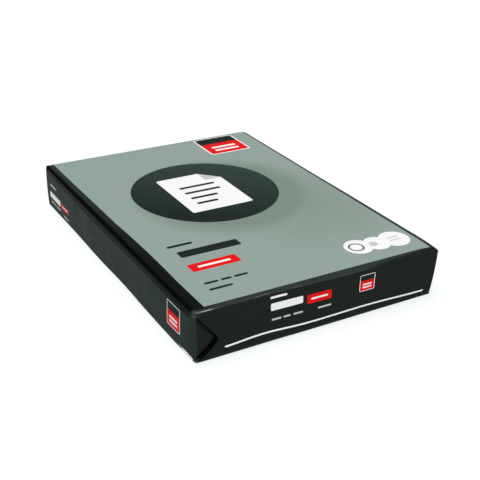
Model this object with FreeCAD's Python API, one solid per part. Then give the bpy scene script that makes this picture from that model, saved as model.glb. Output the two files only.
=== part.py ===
import FreeCAD, Part
import math
import os

from FreeCAD import Vector

# A ream of large copier paper in its glued paper wrapper, lying flat.
# Millimetres. X runs along the sheets' short side, Y along the long side, Z up.
# The origin is at the middle of the underside. The end at -Y is the front end.

# Paper stack
sheet_width = 297.0
sheet_length = 420.0
sheet_count = 500
sheet_caliper = 0.106

# Room and layers of the wrapper around the stack
side_room = 0.5            # wrapper and air on each long side
top_room = 1.0             # wrapper and air over the stack, under it together
tuck_rise = 0.25           # the tucked side lies this far off the sheets' ends
inner_flap_rise = 0.75     # the inner flap stands this far off the tuck
outer_flap_rise = 0.4      # the outer flap stands this far off the inner flap

# Rounding of the wrapper over the stack's edges
long_edge_radius = 1.6     # the four edges along Y
end_edge_radius = 1.6      # the top and bottom edge of each end
corner_radius = 2.2        # the four upright edges

# Envelope fold at each end, as angles of the folded edges from the horizontal
outer_left_angle = 53.0
outer_right_angle = 72.5
inner_left_angle = 42.0
inner_right_angle = 66.0
outer_flap_stop = 8.0      # the outer flap's cut edge ends this far above the underside
inner_flap_stop = 12.0     # the inner flap's cut edge ends this far below the top
fold_radius = 0.3          # rounding of each flap's folded edges

# The side tucks dip in under the inner flap's folded edges
left_dip_width = 8.0
left_dip_depth = 1.5
right_dip_width = 4.0
right_dip_depth = 0.5

# Slack of the wrapper over the long top edge on the left
slack_drop = 12.0          # it leaves the side this far below the top
slack_inset = 3.6          # and reaches the top this far in from the side
slack_waver = 1.1          # its lower line wanders up and down by this much
slack_waves = 1.5          # and this many times along the pack
slack_end_pull = 0.3       # share of the slack that the end folds pull tight
slack_pull_power = 6       # how late along the pack that pull sets in
slack_side_lean = 6.0      # angle of the crease where it leaves the side
slack_top_lean = 16.0      # angle of the crease where it meets the top
slack_side_hold = 0.55     # share of the drop that stays straight above the side
slack_top_hold = 0.45      # share of the inset that stays straight beside the top
slack_stations = 9         # outlines that the slack is drawn through

# Lengthwise lap on the underside
lap_offset = 38.0          # the cut edge runs this far left of the middle
lap_step = 0.25            # thickness of the overlapping layer

# How far cutting and joining shapes reach past what they meet
overshoot = 6.0

stack_height = sheet_count * sheet_caliper
pack_width = sheet_width + 2 * side_room
pack_height = stack_height + top_room
tuck_length = sheet_length + 2 * tuck_rise
inner_length = tuck_length + 2 * inner_flap_rise
outer_length = inner_length + 2 * outer_flap_rise
half_width = pack_width / 2


def rounded_outline(low_a, high_a, low_b, high_b, radius, place):
    """Closed wire of a rectangle with rounded corners; place(a, b) gives its points."""
    wire = []
    diagonal = radius * (1 - math.sqrt(0.5))
    sides = [
        ((low_a + radius, low_b), (high_a - radius, low_b)),
        ((high_a, low_b + radius), (high_a, high_b - radius)),
        ((high_a - radius, high_b), (low_a + radius, high_b)),
        ((low_a, high_b - radius), (low_a, low_b + radius)),
    ]
    corners = [
        (high_a - diagonal, low_b + diagonal),
        (high_a - diagonal, high_b - diagonal),
        (low_a + diagonal, high_b - diagonal),
        (low_a + diagonal, low_b + diagonal),
    ]
    for index, (start, end) in enumerate(sides):
        next_start = sides[(index + 1) % 4][0]
        wire.append(Part.makeLine(place(*start), place(*end)))
        arc = Part.Arc(place(*end), place(*corners[index]), place(*next_start))
        wire.append(arc.toShape())
    return Part.Wire(wire)


def rounded_pack(length):
    """The pack at one layer of its ends: three rounded outlines, crossed."""
    half_length = length / 2
    across = rounded_outline(
        -half_width, half_width, 0, pack_height, long_edge_radius,
        lambda x, z: Vector(x, -half_length, z))
    along = rounded_outline(
        -half_length, half_length, 0, pack_height, end_edge_radius,
        lambda y, z: Vector(-half_width, y, z))
    above = rounded_outline(
        -half_width, half_width, -half_length, half_length, corner_radius,
        lambda x, y: Vector(x, y, 0))
    section = Part.Face(across).extrude(Vector(0, length, 0))
    profile = Part.Face(along).extrude(Vector(pack_width, 0, 0))
    plan = Part.Face(above).extrude(Vector(0, 0, pack_height))
    return section.common(profile).common(plan)


def flap_prism(corners, length):
    """A flap's outline at the front end, as a solid with its folded edges rounded."""
    front = -length / 2
    depth = (length - tuck_length) / 2 + corner_radius + overshoot
    points = [Vector(x, front, z) for x, z in corners]
    face = Part.Face(Part.makePolygon(points + points[:1]))
    prism = face.extrude(Vector(0, depth, 0))
    folds = []
    for edge in prism.Edges:
        start, end = [vertex.Point for vertex in edge.Vertexes]
        in_front = max(start.y, end.y) < front + fold_radius
        if in_front and abs(end.z - start.z) > fold_radius:
            folds.append(edge)
    return prism.makeFillet(fold_radius, folds)


def run_at(rise, angle):
    """How far a folded edge moves in while it goes up or down by rise."""
    return rise / math.tan(math.radians(angle))


def outer_flap():
    """The flap folded down last: it hangs from the top edge and shows its cut edge."""
    reach = pack_height - outer_flap_stop
    top = pack_height + overshoot
    corners = [
        (-half_width - run_at(overshoot, outer_left_angle), top),
        (half_width + run_at(overshoot, outer_right_angle), top),
        (half_width - run_at(reach, outer_right_angle), outer_flap_stop),
        (-half_width + run_at(reach, outer_left_angle), outer_flap_stop),
    ]
    return rounded_pack(outer_length).common(flap_prism(corners, outer_length))


def inner_flap():
    """The flap folded up first: it rises from the underside behind the outer flap."""
    reach = pack_height - inner_flap_stop
    corners = [
        (-half_width - run_at(overshoot, inner_left_angle), -overshoot),
        (half_width + run_at(overshoot, inner_right_angle), -overshoot),
        (half_width - run_at(reach, inner_right_angle), reach),
        (-half_width + run_at(reach, inner_left_angle), reach),
    ]
    return rounded_pack(inner_length).common(flap_prism(corners, inner_length))


def tuck_dip(side, angle, width, depth):
    """Round-bottomed dip of a side tuck along the inner flap's folded edge."""
    radius = (width ** 2 + depth ** 2) / (2 * depth)
    slope = math.radians(angle)
    start = Vector(side * half_width, -tuck_length / 2 + depth - radius, 0)
    direction = Vector(-side * math.cos(slope), 0, math.sin(slope))
    apex_reach = (pack_height - outer_flap_stop) / math.sin(slope)
    start = start - direction * overshoot
    return Part.makeCylinder(radius, apex_reach + overshoot, start, direction)


def end_dips():
    """The dips of the front end's two side tucks."""
    left = tuck_dip(-1, inner_left_angle, left_dip_width, left_dip_depth)
    right = tuck_dip(1, inner_right_angle, right_dip_width, right_dip_depth)
    return [left, right]


def turned_to_back(solids):
    """The same solids at the back end, turned half round about the upright axis."""
    turned = []
    for solid in solids:
        copy = solid.copy()
        copy.rotate(Vector(0, 0, 0), Vector(0, 0, 1), 180)
        turned.append(copy)
    return turned


def slack_section(share):
    """Closed outline of what the slack takes off the left top edge, at one station."""
    y = (share - 0.5) * (outer_length + 2 * overshoot)
    wave = math.sin(2 * math.pi * slack_waves * share)
    pull = 1 - slack_end_pull * abs(2 * share - 1) ** slack_pull_power
    drop = (slack_drop + slack_waver * wave) * pull
    inset = slack_inset * pull
    side_run = math.tan(math.radians(slack_side_lean))
    top_rise = math.tan(math.radians(slack_top_lean))
    low = Vector(-half_width, y, pack_height - drop)
    high = Vector(-half_width + inset, y, pack_height)
    low_handle = low + Vector(side_run, 0, 1) * (drop * slack_side_hold)
    high_handle = high - Vector(1, 0, top_rise) * (inset * slack_top_hold)
    curve = Part.BezierCurve()
    curve.setPoles([low, low_handle, high_handle, high])
    low_out = low - Vector(side_run, 0, 1) * overshoot
    high_out = high + Vector(1, 0, top_rise) * overshoot
    far_high = Vector(high_out.x, y, high_out.z + overshoot)
    far_top = Vector(-half_width - overshoot, y, far_high.z)
    far_low = Vector(far_top.x, y, low_out.z)
    outer = [high, high_out, far_high, far_top, far_low, low_out, low]
    edges = [curve.toShape()]
    edges += [Part.makeLine(a, b) for a, b in zip(outer, outer[1:])]
    return Part.Wire(edges)


def slack_cut():
    """The room that the slack wrapper leaves along the left top edge."""
    shares = [index / (slack_stations - 1) for index in range(slack_stations)]
    return Part.makeLoft([slack_section(share) for share in shares], True)


def lap_cut():
    """Left of the lap's cut edge the underside lies one layer higher."""
    width = half_width - lap_offset + overshoot
    corner = Vector(-half_width - overshoot, -outer_length / 2 - overshoot, -overshoot)
    return Part.makeBox(width, outer_length + 2 * overshoot, overshoot + lap_step, corner)


def wrapped_ream():
    """The sealed pack as one solid: tucked body, folded ends, slack edge and lap."""
    dips = end_dips()
    body = rounded_pack(tuck_length).cut(dips + turned_to_back(dips))
    flaps = [inner_flap(), outer_flap()]
    body = body.fuse(flaps + turned_to_back(flaps))
    return body.cut([slack_cut(), lap_cut()]).removeSplitter()


os.makedirs("parts", exist_ok=True)
shape = wrapped_ream()
solid = shape.Solids[0]
print("solids", len(shape.Solids), "valid", solid.isValid(), "faces", len(solid.Faces))
print("volume", round(solid.Volume), "box", solid.BoundBox)
solid.exportStep("parts/wrapped_ream.step")
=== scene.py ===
import math

import bpy
from mathutils import Matrix, Vector, noise


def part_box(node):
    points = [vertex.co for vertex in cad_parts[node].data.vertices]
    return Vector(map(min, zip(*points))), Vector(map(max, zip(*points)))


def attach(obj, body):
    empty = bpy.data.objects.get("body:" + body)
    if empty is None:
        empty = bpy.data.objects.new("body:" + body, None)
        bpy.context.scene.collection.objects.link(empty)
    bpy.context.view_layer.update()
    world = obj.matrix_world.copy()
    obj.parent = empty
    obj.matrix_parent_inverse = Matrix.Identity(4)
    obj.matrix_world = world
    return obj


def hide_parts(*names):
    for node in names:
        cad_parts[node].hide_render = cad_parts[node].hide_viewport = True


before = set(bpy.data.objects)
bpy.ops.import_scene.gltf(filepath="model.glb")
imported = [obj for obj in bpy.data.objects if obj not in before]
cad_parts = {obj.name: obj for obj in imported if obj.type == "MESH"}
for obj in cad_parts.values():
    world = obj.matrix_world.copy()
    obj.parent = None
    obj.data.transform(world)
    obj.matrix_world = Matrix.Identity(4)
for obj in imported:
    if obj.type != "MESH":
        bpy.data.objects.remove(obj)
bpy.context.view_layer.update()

# A sealed ream of large copier paper: one glued paper wrapper over the sheets.
# x runs along the short side, y away from the printed front end, z up.
# The wrapper is worked out in millimetres and scaled when its mesh is made.

mm = 0.001
quarterHandle = 0.5523  # handle of a Bezier quarter circle, as a share of its radius
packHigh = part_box("wrapped_ream")[1]
halfWidth = packHigh[0] / mm
halfLength = packHigh[1] / mm
packHeight = packHigh[2] / mm


def mix(a, b, share):
    return a + (b - a) * share


def smooth(value, low=0.0, high=1.0):
    share = min(1.0, max(0.0, (value - low) / (high - low)))
    return share * share * (3 - 2 * share)


def hump(value, middle, width):
    return math.exp(-((value - middle) / width) ** 2)


def ripple(a, b, aLength, bLength, seed):
    # Smooth random waves between -1 and 1
    spread, seedStep = 1.6, 7.3
    height = spread * noise.noise(Vector((a / aLength, b / bLength, seed * seedStep)))
    return max(-1.0, min(1.0, height))


def carryOn(values, stop, count):
    # Goes on from the last value to stop in even steps
    first = values[-1]
    values += [mix(first, stop, n / count) for n in range(1, count + 1)]


def ladder(start, runs):
    # Values from start through each (end, step) run
    values = [start]
    for end, step in runs:
        carryOn(values, end, max(1, round((end - values[-1]) / step)))
    return values


def linear(colour):
    # 0 to 255 display values, as written in a paint program
    parts = [c / 255 for c in colour]
    return tuple(c / 12.92 if c < 0.04045 else ((c + 0.055) / 1.055) ** 2.4 for c in parts) + (1.0,)


def placed(name, data):
    thing = bpy.data.objects.new(name, data)
    bpy.context.collection.objects.link(thing)
    return thing


def feed(tree, node, inputs):
    # Links or sets a node's inputs
    for key, value in inputs.items():
        if isinstance(value, bpy.types.NodeSocket):
            tree.links.new(value, node.inputs[key])
        else:
            node.inputs[key].default_value = value


def addNode(tree, kind, inputs=None, **settings):
    node = tree.nodes.new(kind)
    for key, value in settings.items():
        setattr(node, key, value)
    feed(tree, node, inputs or {})
    return node


# Camera and stage, in metres and degrees

cameraFit = {
    "eye": (-0.4658, -0.8352, 0.4812),
    "azimuth": -30.345,
    "elevation": 26.421,
    "roll": 1.263,
    "lens": 66.483,
    "reach": 50.0,
}


def makeCamera():
    data = bpy.data.cameras.new("camera")
    data.lens = cameraFit["lens"]
    data.clip_end = cameraFit["reach"]
    camera = placed("camera", data)
    turn, lift = math.radians(cameraFit["azimuth"]), math.radians(cameraFit["elevation"])
    back = Vector((math.sin(turn) * math.cos(lift), -math.cos(turn) * math.cos(lift), math.sin(lift)))
    level = back.to_track_quat("Z", "Y").to_matrix()
    roll = Matrix.Rotation(math.radians(cameraFit["roll"]), 3, "Z")
    camera.matrix_world = Matrix.Translation(cameraFit["eye"]) @ (level @ roll).to_4x4()
    bpy.context.scene.camera = camera


stageLook = {
    "floorHalf": 15.0,
    "floorSink": 0.0002,  # it lies this far under the pack
    "floorColour": (178, 184, 181),
    "floorLift": 0.58,  # added for the camera, so that the floor reads as white
    "worldLight": 0.05,
    "suns": [
        # name, where it stands, angle of its disc, strength over pi
        ("overhead", (-0.1, 0.12, 1.0), 60, 0.62),
        ("fromTheFront", (-0.5, -0.72, 0.5), 40, 0.74),
        ("fromTheBack", (0.445, 0.8, 0.5), 50, 0.02),
    ],
}


def floorMaterial():
    material = bpy.data.materials.new("paleFloor")
    material.use_nodes = True
    tree = material.node_tree
    tree.nodes.clear()
    matt = addNode(tree, "ShaderNodeBsdfDiffuse", {"Color": linear(stageLook["floorColour"])})
    seen = addNode(tree, "ShaderNodeLightPath").outputs["Is Camera Ray"]
    lift = addNode(tree, "ShaderNodeMath", {0: seen, 1: stageLook["floorLift"]}, operation="MULTIPLY")
    glow = addNode(tree, "ShaderNodeEmission", {"Strength": lift.outputs[0]})
    both = addNode(tree, "ShaderNodeAddShader", {0: matt.outputs[0], 1: glow.outputs[0]})
    addNode(tree, "ShaderNodeOutputMaterial", {"Surface": both.outputs[0]})
    return material


def makeFloor():
    half = stageLook["floorHalf"]
    corners = [(-half, -half, 0), (half, -half, 0), (half, half, 0), (-half, half, 0)]
    mesh = bpy.data.meshes.new("floor")
    mesh.from_pydata(corners, [], [(0, 1, 2, 3)])
    mesh.materials.append(floorMaterial())
    floor = placed("floor", mesh)
    floor.location.z = -stageLook["floorSink"]


def makeWorld():
    # Plain light for the object, white to the camera
    world = bpy.data.worlds.new("studio")
    bpy.context.scene.world = world
    world.use_nodes = True
    tree = world.node_tree
    tree.nodes.clear()
    seen = addNode(tree, "ShaderNodeLightPath").outputs["Is Camera Ray"]
    level = addNode(tree, "ShaderNodeMapRange", {
        "Value": seen, "To Min": stageLook["worldLight"], "To Max": 1.0}).outputs["Result"]
    sky = addNode(tree, "ShaderNodeBackground", {"Color": (1, 1, 1, 1), "Strength": level})
    addNode(tree, "ShaderNodeOutputWorld", {"Surface": sky.outputs[0]})


def makeSuns():
    for name, place, disc, level in stageLook["suns"]:
        data = bpy.data.lights.new(name, "SUN")
        data.angle = math.radians(disc)
        data.energy = level * math.pi
        sun = placed(name, data)
        sun.rotation_euler = Vector(place).to_track_quat("Z", "Y").to_euler()


bpy.context.scene.view_settings.view_transform = "Standard"
makeCamera()
makeFloor()
makeWorld()
makeSuns()
print("stage and camera ready")


# The wrapper's form, in millimetres. Angles are from the horizontal.

form = {
    "longRound": 1.6,  # rounding over the edges along y
    "endRound": 1.3,  # over the top and bottom edge of each end
    "uprightRound": 2.2,  # over the upright edges
    "outerLeft": 53.0,  # folded edges of the flap that shows
    "outerRight": 72.5,
    "outerDrop": 2.0,  # the left one starts this far below the top
    "innerLeft": 40.0,  # folded edges of the flap behind it
    "innerRight": 66.0,
    "innerBulge": (8.5, 8.0, 3.6),  # height, half height and size of the left inner fold's bow
    "cutEdge": 8.0,  # the outer flap stops this far above the underside
    "outerRise": 0.4,  # outer flap over the inner one
    "tuckSink": 1.25,  # side tucks behind the outer flap's face
    "outerDip": (3.5, 1.0),  # width and depth of the tuck's dip beside the outer fold
    "innerDipLeft": (11.0, 4.0),  # and beside the inner one
    "innerDipRight": (5.0, 0.6),
    "innerRound": 0.3,  # rounding of the flaps' folded edges
    "outerRound": 0.9,
    "slackDrop": 8.8,  # slack over the left top edge
    "slackInset": 5.2,
    "slackNarrow": (-10, 130, 0.24),  # between these places it narrows by this share
    "slackKnee": (0.25, 0.27),  # shares of inset and drop at which its two facets meet
    "slackSoft": 0.05,  # how softly they meet
    "slackWaver": 1.1,  # size of the waves in its lower line
    "slackWaves": 1.6,  # number of them along the pack
    "slackStart": 0.42,  # share of the pack's length where they start
    "slackEndPull": (0.2, 6),  # how much the ends pull it tight, and how late that sets in
    # the slack ends over these runs before the front and the back
    "earFront": (4.5, 10.5),
    "earBack": (0.5, 6.0),
    "lapEdge": -38.0,  # x of the cut edge of the lap under the pack
    "lapStep": 0.25,
    "lapStop": 3.0,  # its bare edge stops this far before the ends
    "bareMargin": 2.1,  # width of unprinted paper along a cut edge
}

grid = {
    "wall": 0.12,  # half the width of a step between two layers
    "bead": 1.2,  # strip beside a step that takes its rounding
    "tuckColumns": 18,
    "beadColumns": 5,
    "stripColumns": 6,
    "middleColumns": 64,
    "middleCrowding": 0.86,  # 0 spaces the middle columns evenly, near 1 crowds their ends
    "crowdedColumns": 10,  # columns over the slack along the left edge
    "crowdedReach": 1.1,  # they go this many slack insets in
    "spreadReach": 30.0,  # the other side columns go this far past them
    "spreadPower": 1.4,  # and open out by this power
    # steps along the pack from an end: where each run stops and its step
    "endRuns": [(0.6, 0.15), (2.4, 0.3), (10, 0.38), (14, 1.0), (32, 2.4)],
    "middleStep": 4.2,
    "endBlend": 32.0,  # along y, over which columns change from folds to an even spread
    "borderReach": 12.0,  # how far in an end's edge rounding still shifts its grid
    "sinkBlend": 14.0,  # along y, over which the ends' layers fade out
    "sharpAngle": 38.0,  # creases above it show as sharp
}


def foldLines(z, side):
    # Distance in from the side edge of the inner and the outer fold at height z
    slope = math.tan(math.radians(form["outer" + side]))
    outer = (packHeight - max(z, form["cutEdge"])) / slope
    inner = z / math.tan(math.radians(form["inner" + side]))
    if side == "Left":
        outer = max(0.0, outer - form["outerDrop"] / slope)
        middle, width, most = form["innerBulge"]
        inner += most * hump(z, middle, width)
    return inner, outer


def gridLines(z, side):
    # The same two, kept a little apart where they meet an edge or each other
    least = 4 * grid["wall"]
    inner, outer = foldLines(z, side)
    outer = max(outer, 3 * least)
    return max(min(inner, outer - least), least), outer


def sideOffsets(z, side):
    # Distances in from one side edge of the columns that follow the folds at height z
    wall, bead = grid["wall"], grid["bead"]
    inner, outer = gridLines(z, side)
    stops = [
        (inner - wall, grid["tuckColumns"]),
        (inner + wall, 1),
        (min(inner + bead, mix(inner, outer, 0.5)), grid["beadColumns"]),
        (outer - wall, grid["stripColumns"]),
        (outer + wall, 1),
        (outer + bead, grid["beadColumns"]),
    ]
    offsets = [0.0]
    for stop, count in stops:
        carryOn(offsets, stop, count)
    return offsets


def allColumns(left, right, crowding):
    # x of each column, from the distances of the side ones in from their edges
    start, stop = -halfWidth + left[-1], halfWidth - right[-1]
    crowd = crowding / (2 * math.pi)
    shares = [n / grid["middleColumns"] for n in range(1, grid["middleColumns"])]
    middle = [mix(start, stop, share - crowd * math.sin(2 * math.pi * share)) for share in shares]
    return [-halfWidth + o for o in left] + middle + [halfWidth - o for o in reversed(right)]


def endColumns(z):
    # Those of the front end at height z
    return allColumns(sideOffsets(z, "Left"), sideOffsets(z, "Right"), grid["middleCrowding"])


def evenColumns():
    # Those along the pack, crowded at the long edges
    sideCount = len(sideOffsets(0, "Left"))
    crowded = grid["crowdedColumns"]
    reach = form["slackInset"] * grid["crowdedReach"]
    near = [reach * n / crowded for n in range(crowded + 1)]
    rest = sideCount - 1 - crowded
    spread, power = grid["spreadReach"], grid["spreadPower"]
    offsets = near + [near[-1] + spread * (n / rest) ** power for n in range(1, rest + 1)]
    return allColumns(offsets, offsets, 0)


def rowHeights():
    cut, wall = form["cutEdge"], grid["wall"]
    marginTop = cut + wall + form["bareMargin"]
    # each run stops at the first number and steps by about the second
    return ladder(0.0, [
        (2.0, 0.4), (cut - 1, 0.8), (cut - wall, 0.4), (cut + wall, 0.3), (marginTop, 0.6),
        (20, 1.1), (24, 0.5), (packHeight - 13, 1.2), (packHeight - 2, 0.6), (packHeight, 0.3)])


def stationPlaces():
    half = ladder(0.0, grid["endRuns"] + [(halfLength, grid["middleStep"])])
    front = [-halfLength + d for d in half]
    return front + [-y for y in reversed(front[:-1])]


def pinnedToLap(columns, pair):
    # The same columns, stretched so that one pair stands on both sides of the lap's cut edge
    low, high = len(sideOffsets(0, "Left")), len(columns) - len(sideOffsets(0, "Left"))
    edge, wall = form["lapEdge"], grid["wall"]
    pinned = list(columns)
    for j in range(low, high):
        if j <= pair:
            share = (columns[j] - columns[low]) / (columns[pair] - columns[low])
            pinned[j] = mix(columns[low], edge - wall, share)
        else:
            share = (columns[j] - columns[pair + 1]) / (columns[high] - columns[pair + 1])
            pinned[j] = mix(edge + wall, columns[high], share)
    return pinned


rows = rowHeights()
stations = stationPlaces()
freeEven = evenColumns()
lapPair = sum(x < form["lapEdge"] for x in freeEven) - 1
evenX = pinnedToLap(freeEven, lapPair)
frontX = [pinnedToLap(endColumns(z), lapPair) for z in rows]
backX = [pinnedToLap([-x for x in reversed(endColumns(z))], lapPair) for z in rows]
lastColumn, lastRow = len(evenX) - 1, len(rows) - 1
# first column of the outer flap, and the rows of its bare margin
flapColumn = grid["tuckColumns"] + grid["beadColumns"] + grid["stripColumns"] + 2
marginRows = [k for k in range(lastRow) if 0 < rows[k + 1] - form["cutEdge"]
              < form["bareMargin"] + 2 * grid["wall"]]


def slackAt(y):
    # How far the wrapper drops and sits in over the left top edge at y
    share = (y + halfLength) / (2 * halfLength)
    wave = math.sin(2 * math.pi * form["slackWaves"] * (share - form["slackStart"]))
    most, late = form["slackEndPull"]
    pull = 1 - most * abs(2 * share - 1) ** late
    drop = (form["slackDrop"] + form["slackWaver"] * wave) * pull
    slack = smooth(y + halfLength, *form["earFront"]) * smooth(halfLength - y, *form["earBack"])
    tight = form["longRound"]
    start, stop, narrow = form["slackNarrow"]
    inset = form["slackInset"] * pull * (1 - narrow * smooth(y, start, stop))
    return mix(tight, drop, slack), mix(tight, inset, slack)


def bezier(points, share):
    a, b, c, d = points
    rest = 1 - share
    return a * rest ** 3 + b * 3 * share * rest ** 2 + c * 3 * share ** 2 * rest + d * share ** 3


def slackKnee(drop, inset):
    # Where the slack's steep facet meets its flatter one
    across, down = form["slackKnee"]
    return Vector((inset * across, drop * down))


def overEdge(fromSide, fromFlat, drop, inset, slack):
    # How far in from the side and down from the flat it turns over a long edge
    low = Vector((0.0, drop))
    flat = Vector((inset, 0.0))
    share = 0.5 * (1 - fromSide / drop) if fromSide > 0 else 0.5 + 0.5 * fromFlat / inset
    if not slack:
        quarter = 1 - quarterHandle
        return bezier((low, low * quarter, flat * quarter, flat), share)
    knee = slackKnee(drop, inset)
    turn = share - 0.5
    away = math.hypot(turn, form["slackSoft"])
    return knee + (low - knee) * (away - turn) + (flat - knee) * (away + turn)


def sectionPoint(x, z, y):
    # Moves a point of the sharp outline onto the wrapper's real one at y
    upper = z > packHeight / 2
    fromFlat = halfWidth - abs(x)
    fromSide = packHeight - z if upper else z
    slack = upper and x < 0
    drop, inset = slackAt(y) if slack else (form["longRound"], form["longRound"])
    if fromFlat > inset or fromSide > drop:
        return x, z
    place = overEdge(fromSide, fromFlat, drop, inset, slack)
    return math.copysign(halfWidth - place.x, x), packHeight - place.y if upper else place.y


def inward(x, z, y):
    # Unit direction into the pack from a point of the section outline
    step = 0.02
    onSide = abs(abs(x) - halfWidth) < 1e-6
    around = []
    for shift in (-step, step):
        spot = (x, z + shift) if onSide else (x + shift, z)
        if not 0 <= spot[1] <= packHeight:
            spot = (x - math.copysign(step, x), z)
        around.append(Vector(sectionPoint(*spot, y)))
    tangent = around[1] - around[0]
    normal = Vector((-tangent.y, tangent.x)).normalized()
    place = Vector(sectionPoint(x, z, y))
    towardsMiddle = Vector((-place.x * 0.05, packHeight / 2 - place.y))  # the pack is broad and low
    return normal if normal.dot(towardsMiddle) > 0 else -normal


def beadSink(distance, radius):
    # How far a folded edge rounds back at this distance inside it
    if distance >= radius:
        return 0.0
    return radius - math.sqrt(radius ** 2 - (radius - max(distance, 0.0)) ** 2)


def tuckDepth(fromEdge, z, side):
    # How far the side tuck lies behind the outer flap's face
    inner, outer = foldLines(z, side)
    depth = form["tuckSink"]
    for fold, name, dip in ((inner, "inner", "innerDip" + side), (outer, "outer", "outerDip")):
        width, most = form[dip]
        away = (fold - fromEdge) * math.sin(math.radians(form[name + side]))
        depth += most * max(0.0, 1 - max(away, 0.0) / width) ** 2
    return depth


def endSink(x, z):
    # How far behind the outer flap's face the front end lies at (x, z)
    side = "Left" if x < 0 else "Right"
    fromEdge = halfWidth - abs(x)
    inner, outer = gridLines(z, side)
    rise = form["outerRise"]
    if fromEdge > outer:
        if z < form["cutEdge"]:
            return rise
        return min(rise + form["outerRound"], beadSink(fromEdge - outer, form["outerRound"]))
    if fromEdge > inner and foldLines(z, side)[0] < outer:
        return rise + beadSink(fromEdge - inner, form["innerRound"])
    return tuckDepth(fromEdge, z, side)


# How the wrapper settled in use: it leans, droops, waves and creases a little.
# Every move is inwards, so the pack's size stays.

settling = {
    "leanLeft": 1.9,  # how far the underside's edges lie in from the top's
    "leanRightFront": 5.6,
    "leanRightBack": 1.2,
    "leanFront": 0.23,
    "leanBack": 0.56,
    "frontTopIn": (4.6, 0.2),  # how far the front's top edge lies in on the left and on the right
    "frontTopTurn": (-80, 60),  # the one gives way to the other between these places
    "frontTopReach": 40.0,  # and what lies this near to the front goes along
    # the front left tuck is pressed in: least, most, height from which on, share at its edge
    "tuckIn": (0.4, 4.6, 22, 0.5),
    "tuckBroad": (60, 10),  # distances from the front between which that sets in broadly
    "tuckNear": 14.0,  # and from which on it does so near the front
    "tuckShare": 0.6,  # share of the near one
    "tuckWide": (70, 16),  # distances from the left side between which it sets in
    "frontDroop": (9.0, 0.15),  # reach from the edge and depth at it
    "backDroop": (9.0, 0.7),
    "cornerDroop": (28.0, 1.9),  # the same at the front right corner, added to it
    "droopPower": 1.5,
    "droopWaver": (0.1, 60, 40),  # its share that wavers, and over which lengths
    "leftTilt": (20.0, 44.0, 0.8),  # between these heights the left side leans in by the last
    "topWave": (0.14, 70, 90),  # size and lengths
    "sideWave": (0.6, (85, 45), (24, 18), 0.2),  # size, broad and small lengths, share of the small
    "endWave": (0.35, 55, 30),
    "skin": 12.0,  # depth under a face to which its waves move the wrapper
    "ridges": [2.4, 4.4, 6.8],  # creases along the top front edge, distances in from it
    "ridgeSize": (0.5, 0.2),  # half width and height
    "ridgeWaver": (0.5, 40),  # how far they wander, and over which length
    "ridgeFade": (50, -0.15, 0.5),  # length and limits of the ripple by which they come and go
    # cut edge of the outer flap: place, half width and rise of its bows
    "cutBows": [(-71, 36, 2.6), (45, 50, 1.3)],
    "cutFall": (60, 140, 1.3),  # it falls from the first place to the second by this much
    "cutDepth": (8, 5),  # distances from the end between which the paper goes along
    "cutReach": (1, 3, 34),  # and the same under the edge and over it
    # left bottom edge: place along y, half width and depth of its dents
    "edgeDents": [(-40, 45, 0.9), (-188, 13, 0.3), (120, 60, 0.5)],
    "dentReach": (20, 16),  # in from the side and up from the underside
    "dentPush": (0.6, 0.8),  # shares that go in and up
    "crumplePower": 1.3,
    "crumpleRough": (0.55, 1.1),  # even and uneven share
    # corner (side, end, top or bottom), reach, depth and size of its crumples
    "crumples": [
        ((-1, -1, 1), 12.0, 1.6, 3.2),
        ((-1, 1, 1), 14.0, 2.2, 5.0),
        ((1, -1, 1), 8.0, 0.5, 3.5),
        ((1, 1, 1), 9.0, 0.7, 4.0),
        ((-1, -1, -1), 5.0, 1.5, 3.0),
    ],
}


def droop(x, y):
    # How far the top sinks beside the two ends
    depth = 0.0
    power = settling["droopPower"]
    waver, alongX, alongY = settling["droopWaver"]
    for (reach, most), fromEnd in ((settling["frontDroop"], y + halfLength),
                                   (settling["backDroop"], halfLength - y)):
        share = max(0.0, 1 - max(fromEnd, 0.0) / reach)
        depth += most * share ** power * (1 - waver + waver * ripple(x, fromEnd, alongX, alongY, 3))
    reach, most = settling["cornerDroop"]
    away = math.hypot(halfWidth - x, y + halfLength)
    return depth + most * max(0.0, 1 - away / reach) ** power


def ridgeRise(x, y):
    # Creases along the top front edge, which come and go
    width, height = settling["ridgeSize"]
    waver, waverLength = settling["ridgeWaver"]
    fadeLength, *limits = settling["ridgeFade"]
    rise = 0.0
    for n, place in enumerate(settling["ridges"]):
        crest = place + waver * ripple(x, 0, waverLength, 1, 11 + n)
        strength = smooth(ripple(x, 0, fadeLength, 1, 21 + n), *limits)
        rise += height * strength * hump(y + halfLength, crest, width)
    return rise


def settleTop(p):
    near = smooth(p.z, packHeight - settling["skin"], packHeight)
    most, alongX, alongY = settling["topWave"]
    wave = most * (1 + ripple(p.x, p.y, alongX, alongY, 5)) / 2
    p.z -= near * (droop(p.x, p.y) + wave - ridgeRise(p.x, p.y))


def settleSides(p):
    near = smooth(abs(p.x), halfWidth - settling["skin"], halfWidth)
    seed = 7 if p.x < 0 else 8
    most, broadLengths, smallLengths, smallShare = settling["sideWave"]
    broad = ripple(p.y, p.z, *broadLengths, seed)
    small = ripple(p.y, p.z, *smallLengths, seed + 2)
    wave = most * (1 + (1 - smallShare) * broad + smallShare * small) / 2
    if p.x < 0:
        start, stop, most = settling["leftTilt"]
        wave += most * smooth(p.z, start, stop)
    p.x -= math.copysign(near * wave, p.x)


def settleEnds(p):
    near = smooth(abs(p.y), halfLength - settling["skin"], halfLength)
    seed = 13 if p.y < 0 else 14
    most, alongX, alongZ = settling["endWave"]
    wave = most * (1 + ripple(p.x, p.z, alongX, alongZ, seed)) / 2
    p.y -= math.copysign(near * wave, p.y)


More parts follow.
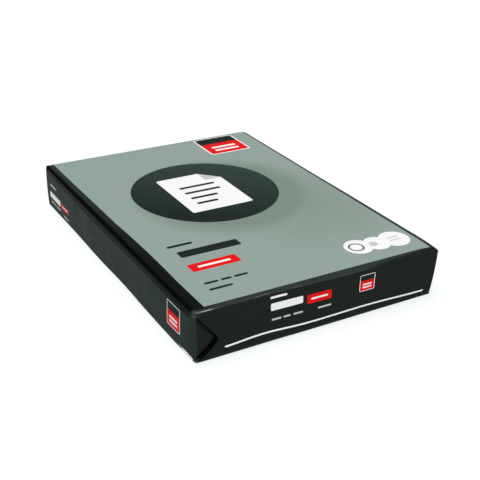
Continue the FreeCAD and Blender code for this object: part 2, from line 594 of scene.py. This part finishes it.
def settleCutEdge(p):
    # The outer flap's cut edge bows up and down, and what is near it goes along
    x = -math.copysign(1, p.y) * p.x
    cut = form["cutEdge"]
    deep, shallow = settling["cutDepth"]
    under, over, top = settling["cutReach"]
    near = smooth(abs(p.y), halfLength - deep, halfLength - shallow)
    near *= smooth(p.z, 0, cut - under) * (1 - smooth(p.z, cut + over, top))
    rise = sum(most * hump(x, place, width) for place, width, most in settling["cutBows"])
    start, stop, fall = settling["cutFall"]
    p.z += near * (rise - fall * smooth(x, start, stop))


def dentLeftEdge(p):
    acrossReach, upReach = settling["dentReach"]
    across, up = settling["dentPush"]
    near = smooth(-p.x, halfWidth - acrossReach, halfWidth) * (1 - smooth(p.z, 0, upReach))
    depth = sum(most * hump(p.y, place, width) for place, width, most in settling["edgeDents"])
    p.x += across * near * depth
    p.z += up * near * depth


def crumple(p):
    even, uneven = settling["crumpleRough"]
    for (side, end, level), reach, depth, size in settling["crumples"]:
        corner = Vector((side * halfWidth, end * halfLength, packHeight if level > 0 else 0))
        distance = (p - corner).length
        if distance < reach:
            fade = (1 - distance / reach) ** settling["crumplePower"]
            apart = Vector((side * 5.1, end * 3.3, level * 9.7))  # each corner has its own noise
            rough = noise.noise(p / size + apart)
            push = depth * fade * (even + uneven * rough)
            p -= Vector((side, end, level)).normalized() * max(push, 0.0)


def pressTuck(p):
    least, most, height, atEdge = settling["tuckIn"]
    start, stop = settling["tuckBroad"]
    broad = smooth(-p.y, halfLength - start, halfLength - stop)
    close = smooth(-p.y, halfLength - settling["tuckNear"], halfLength)
    near = mix(broad, close, settling["tuckShare"])
    start, stop = settling["tuckWide"]
    near *= smooth(-p.x, halfWidth - start, halfWidth - stop)
    near *= mix(1, atEdge, smooth(-p.x, halfWidth - stop, halfWidth))
    p.x += near * mix(least, most, smooth(p.z, 0, height))


def lean(p):
    low = max(0.0, 1 - p.z / packHeight)
    share = (p.y + halfLength) / halfLength / 2
    right = mix(settling["leanRightFront"], settling["leanRightBack"], share)
    # the left side leans straight, and the right one curves in
    across = settling["leanLeft"] if p.x < 0 else right * low
    lengthways = settling["leanFront"] if p.y < 0 else settling["leanBack"]
    p.x -= p.x / halfWidth * across * low
    p.y -= p.y / halfLength * lengthways * low
    if p.y < 0:
        most, least = settling["frontTopIn"]
        back = mix(most, least, smooth(p.x, *settling["frontTopTurn"]))
        reach = settling["frontTopReach"]
        p.y += smooth(-p.y, halfLength - reach, halfLength) * back * (1 - low)


moves = [settleTop, settleSides, settleEnds, settleCutEdge, dentLeftEdge, crumple, pressTuck, lean]


def settled(point):
    p = point.copy()
    for move in moves:
        move(p)
    limits = ((p.x, -halfWidth, halfWidth), (p.y, -halfLength, halfLength), (p.z, 0, packHeight))
    return Vector([min(high, max(low, value)) for value, low, high in limits])


# Pale marks along edges: wear, with painted highlight mixed in along the top front edge and at the
# pinched corner, and a white strip along the left bottom edge. Up to 1 a mark shows in streaks, and
# well over 1 as plain white.

wearAndHighlightMarks = {
    # wear and painted highlight along the top front edge: place, half width and strength
    "frontTopEdge": [(-136, 7, 0.9), (-78, 10, 0.5), (-31, 8, 0.1), (17, 20, 0.05)],
    "frontTopLine": (0.5, 0.18),  # distance from the sharp edge and half width
    "corner": (5.0, 0.12),  # wear and painted highlight at the pinched corner: reach and strength
    "bottomEdge": (-205.5, -174, 4.0),  # start and stop along the left bottom edge, and strength
    "bottomSoft": 2.0,  # it sets in over this far either way
    "bottomHeight": (0.65, 0.95, 3.5, 3.9),  # it sets in and ends over these heights
    "bottomReach": 3.0,  # and this near to the side
    "upright": (2.0, 0.02),  # reach and strength along the upright edges
    "longEdge": (1.5, 0.12),  # and along the level ones
}


def wearAndHighlightAt(p):
    fromLeft, fromRight = p.x + halfWidth, halfWidth - p.x
    fromFront, fromBack = p.y + halfLength, halfLength - p.y
    fromTop = packHeight - p.z
    along = sum(most * hump(p.x, place, width) for place, width, most in wearAndHighlightMarks["frontTopEdge"])
    wearAndHighlight = along * hump(math.hypot(fromTop, fromFront), *wearAndHighlightMarks["frontTopLine"])
    reach, most = wearAndHighlightMarks["corner"]
    wearAndHighlight += most * hump(math.sqrt(fromTop ** 2 + fromFront ** 2 + fromLeft ** 2), 0, reach)
    start, stop, most = wearAndHighlightMarks["bottomEdge"]
    soft = wearAndHighlightMarks["bottomSoft"]
    alongSide = smooth(p.y, start - soft, start + soft) * (1 - smooth(p.y, start, stop) ** 2) * most
    low, lowFull, high, highNone = wearAndHighlightMarks["bottomHeight"]
    strip = smooth(p.z, low, lowFull) * (1 - smooth(p.z, high, highNone))
    wearAndHighlight += alongSide * strip * hump(fromLeft, 0, wearAndHighlightMarks["bottomReach"])
    reach, most = wearAndHighlightMarks["upright"]
    for side in (fromLeft, fromRight):
        for end in (fromFront, fromBack):
            wearAndHighlight += most * hump(math.hypot(side, end), 0, reach)
    reach, most = wearAndHighlightMarks["longEdge"]
    under, over = (fromLeft, fromRight, fromFront), (fromRight, fromBack)
    for level, side in [(p.z, side) for side in under] + [(fromTop, side) for side in over]:
        wearAndHighlight += most * hump(math.hypot(level, side), 0, reach)
    return wearAndHighlight


# Painted shade: how far the wrapper's black is darkened where its own slack, folds and creases would
# shade it, as a share from 0 to 1

shading = {
    "steepFacet": (0.68, 0.88),  # at the side and where the facets meet
    "lowerLine": (0.3, 1.0),  # it fades out from this far over its lower line to this far under it
    "kneeFade": 0.8,
    "upperLine": (0.2, 1.0),  # the same at its upper line
    "border": (0.12, 0.87),  # on the top's border at the back and at the front
    "borderTurn": (-120, 160),  # the one gives way to the other between these places
    "borderWidth": (14, 26),  # it fades out between these distances from the side
    "besideFacet": (0.92, 0.5, 3.8),  # next to the slack, and the distances over which it fades
    "cornerFade": (3.0, 6.0),  # it ends over this run before the front
    # painted shade along the top's front edge on the right: slant, start and stop along y, the same
    # along x, strength
    "rightFront": (-0.057, -212.4, -210.4, 40, 80, 0.6),
    "innerFold": (7.5, 0.95),  # reach and strength in the left tuck beside the inner fold
    "outerFold": (4.0, 0.95),
    "foldSpill": 0.15,  # it takes in the wall beside the fold
    "foldPower": 0.8,
    # reach, size, strength and limits of the painted shade in the pinched corner's small creases
    "creases": (9.0, 1.7, 0.85, -0.05, 0.4),
}


# Painted shade in the small creases of the pinched front left top corner
def cornerCreaseShade(p):
    reach, size, most, *limits = shading["creases"]
    away = (p - Vector((-halfWidth, -halfLength, packHeight))).length
    if away > reach:
        return 0.0
    return most * (1 - (away / reach) ** 2) * smooth(noise.noise(p / size), *limits)


def slackShade(p):
    fromLeft, fromTop = p.x + halfWidth, packHeight - p.z
    drop, inset = slackAt(p.y)
    knee = slackKnee(drop, inset)
    if fromTop > knee.y:
        atSide, atKnee = shading["steepFacet"]
        facet = mix(atSide, atKnee, smooth(drop - fromTop, 0, drop - knee.y))
        above, under = shading["lowerLine"]
        shade = facet * (1 - smooth(fromTop, drop - above, drop + under))
        shade = max(shade, 1 - smooth(fromTop, knee.y, knee.y + shading["kneeFade"]))
    elif fromLeft < inset:
        shade = 1.0
    else:
        atBack, atFront = shading["border"]
        most, start, stop = shading["besideFacet"]
        border = mix(atFront, atBack, smooth(p.y, *shading["borderTurn"]))
        shade = mix(max(most, border), border, smooth(fromLeft - inset, start, stop))
        before, past = shading["upperLine"]
        shade = max(shade, 1 - smooth(fromLeft, inset - before, inset + past))
        shade *= 1 - smooth(fromLeft, *shading["borderWidth"])
    return shade * smooth(p.y + halfLength, *shading["cornerFade"])


def tuckShade(p):
    fromEdge = p.x + halfWidth
    inner, outer = foldLines(p.z, "Left")
    spill = shading["foldSpill"]
    shade = 0.0
    for fold, angle, name in ((inner, "innerLeft", "innerFold"), (outer, "outerLeft", "outerFold")):
        reach, most = shading[name]
        away = (fold - fromEdge) * math.sin(math.radians(form[angle]))
        if away > -spill and fromEdge < min(inner, outer) + spill:
            near = max(0.0, 1 - max(away, 0.0) / reach)
            shade = max(shade, most * near ** shading["foldPower"])
    return shade


def foldShade(p, onFront):
    if onFront:
        return tuckShade(p) if p.x < 0 else 0.0
    if p.z <= packHeight / 2:
        return 0.0
    slant, start, stop, low, high, most = shading["rightFront"]
    shade = most * (1 - smooth(p.y + slant * p.x, start, stop)) * smooth(p.x, low, high)
    return max(shade, slackShade(p)) if p.x < 0 else shade


def shadeAt(p, onFront):
    return max(foldShade(p, onFront), cornerCreaseShade(p))


# The mesh: rings round the section along the pack, closed by a grid at each end

def endX(j, k, y):
    return frontX[k][j] if y < 0 else backX[k][j]


def sharpPoint(j, k, y):
    if j in (0, lastColumn):
        return math.copysign(halfWidth, j - 0.5), rows[k]
    even = smooth(halfLength - abs(y), 0, grid["endBlend"])
    return mix(endX(j, k, y), evenX[j], even), rows[k]


def ringPoint(j, k, y):
    x, z = sharpPoint(j, k, y)
    into = inward(x, z, y)
    placeX, placeZ = sectionPoint(x, z, y)
    fromEnd = halfLength - abs(y)
    radius = form["endRound"] * into.y ** 2 + form["uprightRound"] * into.x ** 2
    if fromEnd < radius:
        sink = radius - math.sqrt(max(0.0, radius ** 2 - (radius - fromEnd) ** 2))
        placeX += into.x * sink
        placeZ += into.y * sink
    if k == 0 and x < form["lapEdge"]:
        placeZ += form["lapStep"]
    behind = endSink(-math.copysign(1, y) * x, z) * (1 - smooth(fromEnd, 0, grid["sinkBlend"]))
    return Vector((placeX, y - math.copysign(behind, y), placeZ))


def sectionOutline():
    # Grid points round the section, each with the face that starts there
    under = [((j, 0), "under") for j in range(lastColumn)]
    right = [((lastColumn, k), "rightSide") for k in range(lastRow)]
    top = [((j, lastRow), "top") for j in range(lastColumn, 0, -1)]
    left = [((0, k), "leftSide") for k in range(lastRow, 0, -1)]
    return under + right + top + left


def gridShift(j, k, end, border, points):
    # What the rounded edges round an end do to its grid at (j, k)
    def borderShift(column, row):
        real = points[border[(column, row)]]
        return Vector((real.x - endX(column, row, end), real.z - rows[row]))

    reach = grid["borderReach"]
    x, z = endX(j, k, end), rows[k]
    sideColumn = 0 if x < 0 else lastColumn
    flatRow = 0 if z < packHeight / 2 else lastRow
    sideWeight = max(0.0, 1 - (halfWidth - abs(x)) / reach) ** 2
    flatWeight = max(0.0, 1 - abs(z - rows[flatRow]) / reach) ** 2
    shift = borderShift(sideColumn, k) * sideWeight + borderShift(j, flatRow) * flatWeight
    return shift - borderShift(sideColumn, flatRow) * sideWeight * flatWeight


def endArea(j, k, end):
    if k in marginRows and flapColumn <= j < lastColumn - flapColumn:
        return "margin"
    return "frontEnd" if end < 0 else "backEnd"


def closeEnd(end, border, points, faces, areas):
    # end is -1 at the front and 1 at the back
    numbers = dict(border)
    for k in range(1, lastRow):
        for j in range(1, lastColumn):
            x, z = endX(j, k, end), rows[k]
            shift = gridShift(j, k, end, border, points)
            behind = endSink(-end * x, z)
            numbers[(j, k)] = len(points)
            points.append(Vector((x + shift.x, end * (halfLength - behind), z + shift.y)))
    for k in range(lastRow):
        for j in range(lastColumn):
            corners = [numbers[spot] for spot in ((j, k), (j, k + 1), (j + 1, k + 1), (j + 1, k))]
            faces.append(corners if end < 0 else corners[::-1])
            areas.append(endArea(j, k, end))


def wrapperGrid():
    outline = sectionOutline()
    points = [ringPoint(j, k, y) for y in stations for (j, k), area in outline]
    count = len(outline)
    faces, areas = [], []
    for first in range(0, (len(stations) - 1) * count, count):
        for n, (spot, area) in enumerate(outline):
            a, b = first + n, first + (n + 1) % count
            faces.append([a, b, b + count, a + count])
            areas.append(area)
    for end, first in ((-1, 0), (1, (len(stations) - 1) * count)):
        border = {spot: first + n for n, (spot, area) in enumerate(outline)}
        closeEnd(end, border, points, faces, areas)
    return points, faces, areas


def makeWrapper():
    points, faces, areas = wrapperGrid()
    mesh = bpy.data.meshes.new("wrapper")
    mesh.from_pydata([settled(p) * mm for p in points], [], faces)
    ringCount = len(stations) * len(sectionOutline())
    # per point: wear with painted highlight, and painted shade
    wearAndHighlight = mesh.attributes.new("wearAndHighlight", "FLOAT", "POINT")
    shade = mesh.attributes.new("shade", "FLOAT", "POINT")
    for n, p in enumerate(points):
        wearAndHighlight.data[n].value = wearAndHighlightAt(p)
        shade.data[n].value = shadeAt(p, n >= ringCount and p.y < 0)
    for polygon in mesh.polygons:
        polygon.use_smooth = True
    mesh.set_sharp_from_angle(angle=math.radians(grid["sharpAngle"]))
    wrapper = placed("wrapper", mesh)
    print("wrapper mesh:", len(points), "points,", len(faces), "faces")
    return wrapper, areas


# Print. Every shape is a plain field of ink, placed in millimetres on its own face.

inks = {
    "black": (40, 48, 45),
    # ink of the painted shade in the slack, folds and creases
    "paintedShadeBlack": (4, 6, 5),
    # the next three are one black with painted light and shade: lighter on the top, a little darker on
    # the long side and darker still on the front end, for how light falls on each face
    "topBlack": (46, 55, 52),
    "sideBlack": (37, 48, 44),
    "frontBlack": (32, 36, 35),
    "panel": (148, 165, 157),
    "panelShade": (127, 144, 135),
    "disc": (30, 40, 36),
    "discPale": (54, 68, 62),
    "white": (250, 250, 249),
    "paleGrey": (202, 207, 205),
    "slate": (92, 104, 124),
    "red": (232, 26, 22),
    "bare": (253, 253, 250),
    "paleWearAndHighlight": (222, 226, 223),
}

inkEdge = 0.12  # half the width over which one ink gives way to the next

# the print runs a little askew on the wrapper
panelEdges = {
    "left": -134.0, "leftSlant": -0.013, "leftBow": (-70, 75, 1.4),
    "right": 144.2, "rightSlant": 0.006,
    "front": -200.3, "frontSlant": -0.003,
    "downTheBack": 3.0,
}

topDisc = {
    "centre": (-2, 44), "radius": 90,
    "shadeShift": (17, -20), "shadeRadius": 104, "shadeFade": 16,
    "broadShift": (84, -84), "broadRadius": 72, "broadFade": 56, "broadStrength": 0.6,
    "paleTowards": (0.6, 0.8, 0), "paleRun": (-40, 130),
}

pageMark = {
    "centre": (-4, 44),
    "half": (40, 52),
    "corner": 3.0,
    "fold": 22.0,  # size of the turned corner
    "foldCorner": 1.5,  # its rounding
    "lines": [(0, 18, 24), (0, 2, 24), (-6, -14, 18), (-10, -30, 14)],  # x, y, half length
    "line": (2.6, 2.08),  # half width and rounding
}


def bars(ink, half, corner, places):
    # Small bars of one kind, each given by its centre and half length
    return [("box", (x, y), (length, half), ink, corner) for x, y, length in places]


# kind, centre, then half sizes or radius, ink, corner radius or ring width
topPrint = [
    ("box", (-95, -74), (15, 2.4), "disc", 2.0),
    ("box", (-70, -95), (36, 7), "disc", 2.5),
    ("box", (-81, -126.7), (28, 8.2), "red", 1.5),
    ("box", (-81, -126.7), (19, 1.9), "white", 1.4),
    *bars("disc", 1.9, 1.6, [(-103, -161, 8), (-86, -161, 6), (-69, -161, 8), (-99, -174, 13)]),
    ("disc", (73, -166), 16, "white"),
    ("ring", (70.5, -166), 8.0, "slate", 2.2),
    ("disc", (96.5, -168), 15, "white"),
    ("disc", (92, -168), 5, "paleGrey"),
    ("disc", (120.4, -168), 17.5, "white"),
    *bars("paleGrey", 1.1, 1.0, [(120.4, -164, 8), (120.4, -170, 8)]),
]

frontPrint = [
    ("box", (-53, 48.4), (9.5, 1.2), "white", 1.0),
    ("box", (-43.5, 38), (18.5, 4), "white", 1.4),
    ("box", (-5.5, 36), (14.5, 5), "red", 1.0),
    ("box", (-5.5, 36), (10, 1.0), "white", 0.8),
    *bars("paleGrey", 1.0, 0.9,
          [(-55.5, 24.2, 5.5), (-43.5, 24.2, 4), (-30.5, 24.2, 5.5), (1, 23.7, 8)]),
]

# On the long side the first number runs from the back end to the front
sidePrint = [
    ("box", (-183, 34), (11, 1.2), "paleGrey", 1.0),
    ("box", (-177.5, 20), (19, 4), "white", 1.4),
    ("box", (-142.5, 19.2), (13.5, 3.4), "red", 1.0),
    ("box", (-142.5, 19.2), (9, 0.8), "white", 0.7),
    *bars("paleGrey", 1.0, 0.9, [(-186, 10.5, 8), (-168, 10.5, 8), (-140.5, 7.4, 8.5)]),
]

# The red mark: centre and half size on each face, then its parts as shares of that half size
redMark = {
    "top": ((93, 176), 30),
    "frontEnd": ((53, 38), 9.5),
    "leftSide": ((166, 29.5), 14),
    "rim": 0.07,
    "corners": (0.16, 0.1),  # rounding of the rim and of what lies in it
    "head": (0.6, 0.4),  # middle and half height of the black head
    "lineLevels": (-0.2, -0.55),
    "line": (0.6, 0.09, 0.06),  # half length, half width and rounding
}

# sizes in millimetres; a run is the part of a noise that goes from none to all
paper = {
    "roughness": (0.3, 0.42),
    "specular": 0.05,
    "glossTint": (0.86, 1.0, 0.94, 1.0),
    "patchSize": 30.0,  # of the cloudy change in gloss
    "patchRun": (0.32, 0.68),
    "mottle": 0.03,  # share by which the ink's depth varies
    "mottleSize": 5.0,
    "mottleRun": (0.3, 0.7),
    "fibreSize": 0.8,
    "fibreHeight": 0.012,
    "fibreStrength": 0.35,
    "streakSize": 2.4,
    "streakGrain": (0.25, 1.6, 1.6),  # the pale streaks run along x
    "streakRun": (0.38, 0.6),
    "bareRun": (1.0, 2.4),  # strength of the pale mark over which it turns plain white
}


class Painter:
    # Adds nodes to one material; places are in millimetres

    def __init__(self, name):
        self.material = bpy.data.materials.new(name)
        self.material.use_nodes = True
        self.tree = self.material.node_tree
        where = self.add("ShaderNodeTexCoord").outputs["Object"]
        scaled = self.add("ShaderNodeVectorMath", {0: where, "Scale": 1 / mm}, operation="SCALE")
        self.place = scaled.outputs[0]
        self.x, self.y, self.z = self.add("ShaderNodeSeparateXYZ", {0: self.place}).outputs

    def add(self, kind, inputs=None, **settings):
        return addNode(self.tree, kind, inputs, **settings)

    def math(self, operation, first, second=0.0):
        return self.add("ShaderNodeMath", {0: first, 1: second}, operation=operation).outputs[0]

    def vector(self, operation, first, second=(0, 0, 0), out="Vector"):
        node = self.add("ShaderNodeVectorMath", {0: first, 1: second}, operation=operation)
        return node.outputs[out]

    def length(self, place):
        return self.vector("LENGTH", place, out="Value")

    def dot(self, first, second):
        return self.vector("DOT_PRODUCT", first, second, "Value")

    def ramp(self, value, start, stop, low=0.0, high=1.0):
        limits = {"Value": value, "From Min": start, "From Max": stop, "To Min": low, "To Max": high}
        return self.add("ShaderNodeMapRange", limits).outputs["Result"]

    def plane(self, across, up):
        return self.add("ShaderNodeCombineXYZ", {"X": across, "Y": up}).outputs[0]

    def cloud(self, size, detail=2.0, stretch=None):
        place = self.vector("MULTIPLY", self.place, stretch) if stretch else self.place
        settings = {"Vector": place, "Scale": 1 / size, "Detail": detail}
        return self.add("ShaderNodeTexNoise", settings).outputs["Fac"]

    def below(self, value, edge, fade=inkEdge):
        # 1 where value is under edge
        return self.ramp(value, edge + fade, edge - fade)

    def above(self, value, edge, fade=inkEdge):
        return self.ramp(value, edge - fade, edge + fade)

    def both(self, first, second):
        return self.math("MULTIPLY", first, second)

    def slanted(self, place, along, name):
        return self.math("SUBTRACT", place, self.both(along, panelEdges[name]))

    def apart(self, plane, centre):
        return self.vector("SUBTRACT", plane, (*centre, 0))

    def disc(self, plane, centre, radius, fade=inkEdge):
        return self.below(self.length(self.apart(plane, centre)), radius, fade)

    def ring(self, plane, centre, radius, width):
        offLine = self.math("SUBTRACT", self.length(self.apart(plane, centre)), radius)
        return self.below(self.math("ABSOLUTE", offLine), width / 2)

    def box(self, plane, centre, half, corner):
        folded = self.vector("ABSOLUTE", self.apart(plane, centre))
        past = self.vector("SUBTRACT", folded, (half[0] - corner, half[1] - corner, 0))
        return self.below(self.length(self.vector("MAXIMUM", past, (0, 0, 0))), corner)

    def over(self, under, ink, mask):
        # 6 and 7 are the mix node's two colours, and its output 2 is their mix
        node = self.add("ShaderNodeMix", {"Factor": mask, 6: under, 7: ink}, data_type="RGBA")
        return node.outputs[2]

    def ink(self, under, name, mask):
        return self.over(under, linear(inks[name]), mask)

    def printed(self, colour, plane, shapes):
        for kind, centre, size, ink, *extra in shapes:
            mask = getattr(self, kind)(plane, centre, size, *extra)
            colour = self.ink(colour, ink, mask)
        return colour

    def black(self, name):
        # Black that deepens with painted shade where the wrapper's slack and folds would shade it
        shade = self.add("ShaderNodeAttribute", attribute_name="shade").outputs["Fac"]
        return self.ink(linear(inks[name]), "paintedShadeBlack", shade)

    def finish(self, colour):
        # The same lightly coated paper under every print
        mottle = self.cloud(paper["mottleSize"], 4.0)
        deeper = self.ramp(mottle, *paper["mottleRun"], 0.0, paper["mottle"])
        colour = self.over(colour, (0, 0, 0, 1), deeper)
        # pale streaks of wear and painted highlight, plain white where the mark is strong
        wearAndHighlight = self.add("ShaderNodeAttribute", attribute_name="wearAndHighlight").outputs["Fac"]
        grain = self.cloud(paper["streakSize"], 4.0, paper["streakGrain"])
        colour = self.ink(colour, "paleWearAndHighlight", self.both(wearAndHighlight, self.ramp(grain, *paper["streakRun"])))
        colour = self.ink(colour, "bare", self.ramp(wearAndHighlight, *paper["bareRun"]))
        patches = self.cloud(paper["patchSize"], 3.0)
        bump = self.add("ShaderNodeBump", {
            "Height": self.cloud(paper["fibreSize"], 3.0),
            "Strength": paper["fibreStrength"],
            "Distance": paper["fibreHeight"] * mm,
        })
        feed(self.tree, self.tree.nodes["Principled BSDF"], {
            "Base Color": colour,
            "Roughness": self.ramp(patches, *paper["patchRun"], *paper["roughness"]),
            "Specular IOR Level": paper["specular"],
            "Specular Tint": paper["glossTint"],
            "Normal": bump.outputs[0],
        })
        return self.material


def paintMark(paint, colour, plane, face):
    # A plain red square with a black head, two white lines and a white rim
    (x, y), half = redMark[face]
    rim = half * redMark["rim"]
    outer, inner = (half * share for share in redMark["corners"])
    headMiddle, headHalf = (half * share for share in redMark["head"])
    lineLength, lineWidth, lineCorner = (half * share for share in redMark["line"])
    shapes = [
        ("box", (x, y), (half, half), "white", outer),
        ("box", (x, y), (half - rim, half - rim), "red", inner),
        ("box", (x, y + headMiddle), (half - rim, headHalf - rim), "disc", inner),
    ]
    lines = [(x, y + half * level, lineLength) for level in redMark["lineLevels"]]
    return paint.printed(colour, plane, shapes + bars("white", lineWidth, lineCorner, lines))


def paintDisc(paint, colour, plane, panel):
    # A dark disc with a soft darker shade on the panel beside it
    x, y = topDisc["centre"]

    def shadow(name):
        across, up = topDisc[name + "Shift"]
        return paint.disc(plane, (x + across, y + up), topDisc[name + "Radius"], topDisc[name + "Fade"])

    shade = shadow("shade")
    shade = paint.math("MAXIMUM", shade, paint.both(shadow("broad"), topDisc["broadStrength"]))
    colour = paint.ink(colour, "panelShade", paint.both(shade, panel))
    pale = paint.ramp(paint.dot(plane, topDisc["paleTowards"]), *topDisc["paleRun"])
    inside = paint.ink(linear(inks["disc"]), "discPale", pale)
    return paint.over(colour, inside, paint.disc(plane, (x, y), topDisc["radius"]))


def paintPage(paint, colour, plane):
    # A white page with a turned corner and plain lines
    x, y = pageMark["centre"]
    halfX, halfY = pageMark["half"]
    fold = pageMark["fold"]
    diagonal = paint.dot(plane, (1, 1, 0))
    kept = paint.below(diagonal, x + halfX + y + halfY - fold, 2 * inkEdge)
    page = paint.both(paint.box(plane, (x, y), (halfX, halfY), pageMark["corner"]), kept)
    colour = paint.ink(colour, "white", page)
    corner = (x + halfX - fold / 2, y + halfY - fold / 2)
    turned = paint.both(paint.box(plane, corner, (fold / 2, fold / 2), pageMark["foldCorner"]), kept)
    colour = paint.ink(colour, "paleGrey", turned)
    lines = [(x + right, y + up, length) for right, up, length in pageMark["lines"]]
    return paint.printed(colour, plane, bars("disc", *pageMark["line"], lines))


def panelMask(paint):
    # Between the panel's left edge, which bows in, and its right one
    middle, reach, most = panelEdges["leftBow"]
    ahead = paint.math("POWER", paint.ramp(paint.y, middle, middle + reach), 2.0)
    behind = paint.math("POWER", paint.ramp(paint.y, middle, middle - reach), 2.0)
    bow = paint.both(paint.math("SUBTRACT", 1.0, paint.math("ADD", ahead, behind)), most)
    fromLeft = paint.math("SUBTRACT", paint.slanted(paint.x, paint.y, "leftSlant"), bow)
    fromRight = paint.slanted(paint.x, paint.y, "rightSlant")
    inside = paint.above(fromLeft, panelEdges["left"])
    return paint.both(inside, paint.below(fromRight, panelEdges["right"]))


def topMaterial():
    paint = Painter("printedTop")
    plane = paint.plane(paint.x, paint.y)
    fromFront = paint.slanted(paint.y, paint.x, "frontSlant")
    panel = paint.both(panelMask(paint), paint.above(fromFront, panelEdges["front"]))
    colour = paint.ink(paint.black("topBlack"), "panel", panel)
    colour = paintDisc(paint, colour, plane, panel)
    colour = paintPage(paint, colour, plane)
    colour = paintMark(paint, colour, plane, "top")
    return paint.finish(paint.printed(colour, plane, topPrint))


def frontMaterial():
    paint = Painter("printedFront")
    plane = paint.plane(paint.x, paint.z)
    colour = paintMark(paint, paint.black("frontBlack"), plane, "frontEnd")
    return paint.finish(paint.printed(colour, plane, frontPrint))


def backMaterial():
    # The panel runs on over the back edge
    paint = Painter("plainBack")
    low = paint.above(paint.z, packHeight - panelEdges["downTheBack"])
    return paint.finish(paint.ink(linear(inks["black"]), "panel", paint.both(panelMask(paint), low)))


def sideMaterial():
    paint = Painter("printedSide")
    plane = paint.plane(paint.both(paint.y, -1.0), paint.z)
    colour = paintMark(paint, paint.black("sideBlack"), plane, "leftSide")
    return paint.finish(paint.printed(colour, plane, sidePrint))


def plainMaterial():
    paint = Painter("plainWrap")
    # Bare margin along the lap's cut edge, on the outer layer
    edge = form["lapEdge"] * (1 - settling["leanLeft"] / halfWidth)
    strip = paint.both(paint.above(paint.x, edge), paint.below(paint.x, edge + form["bareMargin"]))
    strip = paint.both(strip, paint.below(paint.z, form["longRound"]))
    lapEnd = halfLength - form["lapStop"]
    strip = paint.both(strip, paint.below(paint.math("ABSOLUTE", paint.y), lapEnd))
    return paint.finish(paint.ink(linear(inks["black"]), "bare", strip))


def marginMaterial():
    paint = Painter("bareMargin")
    return paint.finish(linear(inks["bare"]))


wrapper, areas = makeWrapper()
# areas without a finish of their own are plain
finishes = {
    "top": topMaterial(),
    "frontEnd": frontMaterial(),
    "backEnd": backMaterial(),
    "leftSide": sideMaterial(),
    "plain": plainMaterial(),
    "margin": marginMaterial(),
}
slots = list(finishes)
for material in finishes.values():
    wrapper.data.materials.append(material)
for polygon, area in zip(wrapper.data.polygons, areas):
    polygon.material_index = slots.index(area if area in finishes else "plain")
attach(wrapper, "root")
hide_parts("wrapped_ream")
print("wrapper finished")
